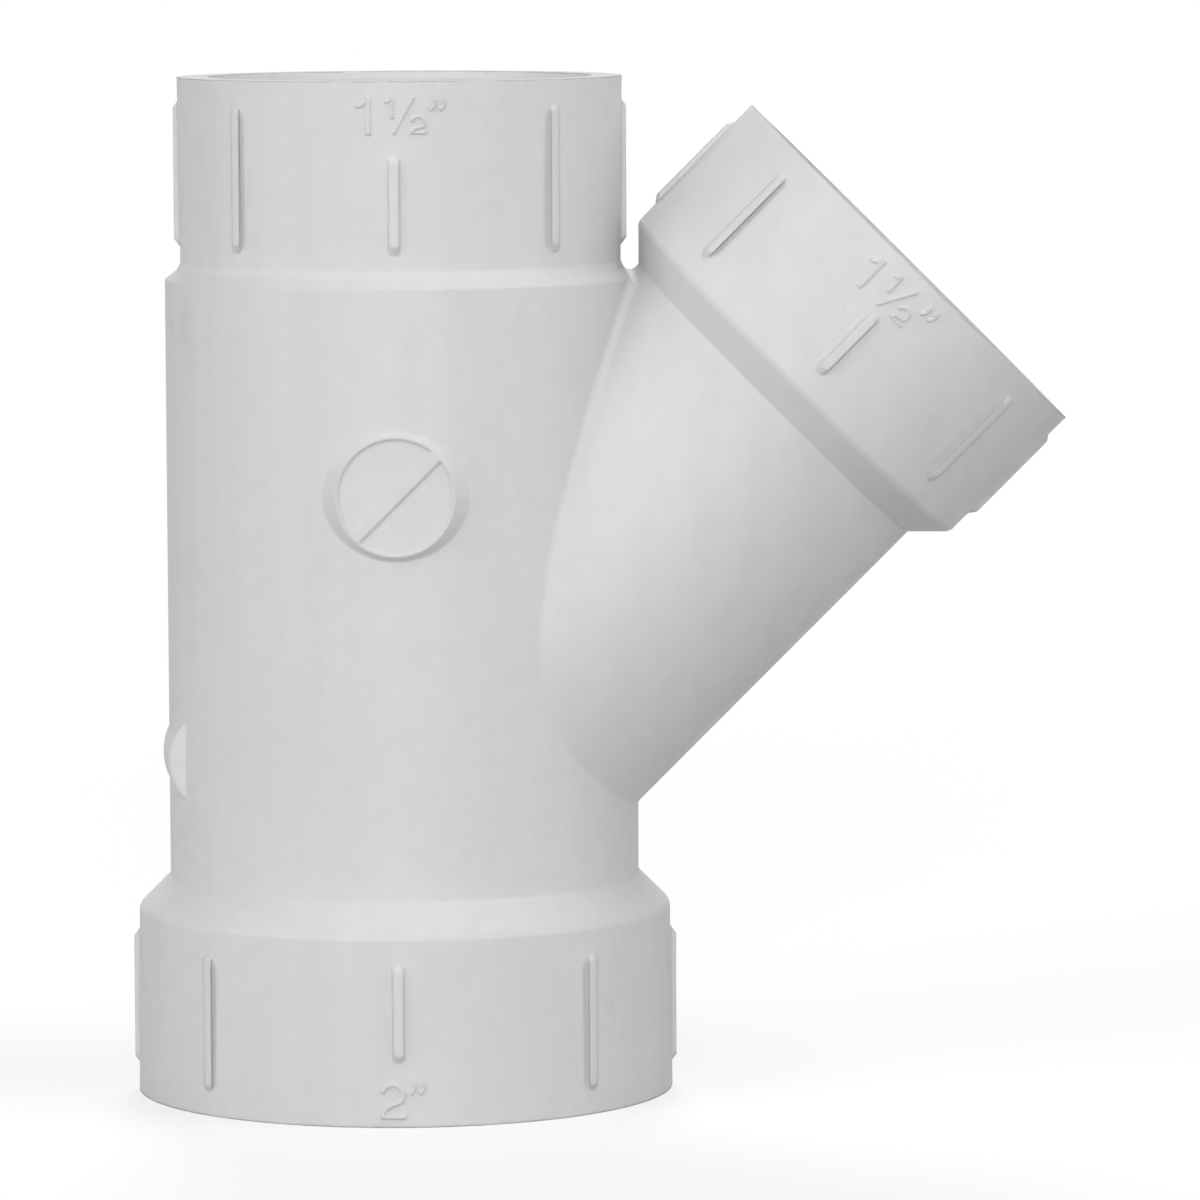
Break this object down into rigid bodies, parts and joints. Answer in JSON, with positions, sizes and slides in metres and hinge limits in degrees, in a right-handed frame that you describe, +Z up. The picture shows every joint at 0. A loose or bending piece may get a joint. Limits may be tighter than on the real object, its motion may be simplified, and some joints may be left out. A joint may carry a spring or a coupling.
{
  "type": "lateral wye fitting",
  "caption": "Lateral wye for solvent-welded drain pipe: a straight run that narrows from a large socket to a smaller one, with a slanted branch socket.",
  "frame": {"origin": "centre of the large outlet socket's mouth", "axes": "+Z up the axis of the straight run, towards the smaller inlet; +X towards the branch, which leaves the run at 45 degrees between +X and +Z; -Y is the front, with the round marking pad"},
  "size_m": [0.1201, 0.07, 0.1301],
  "materials": {
    "white_pvc": "satin moulded surface with burred socket mouths"
  },
  "bodies": {
    "root": {"wye_fitting": "white_pvc"}
  },
  "joints": []
}
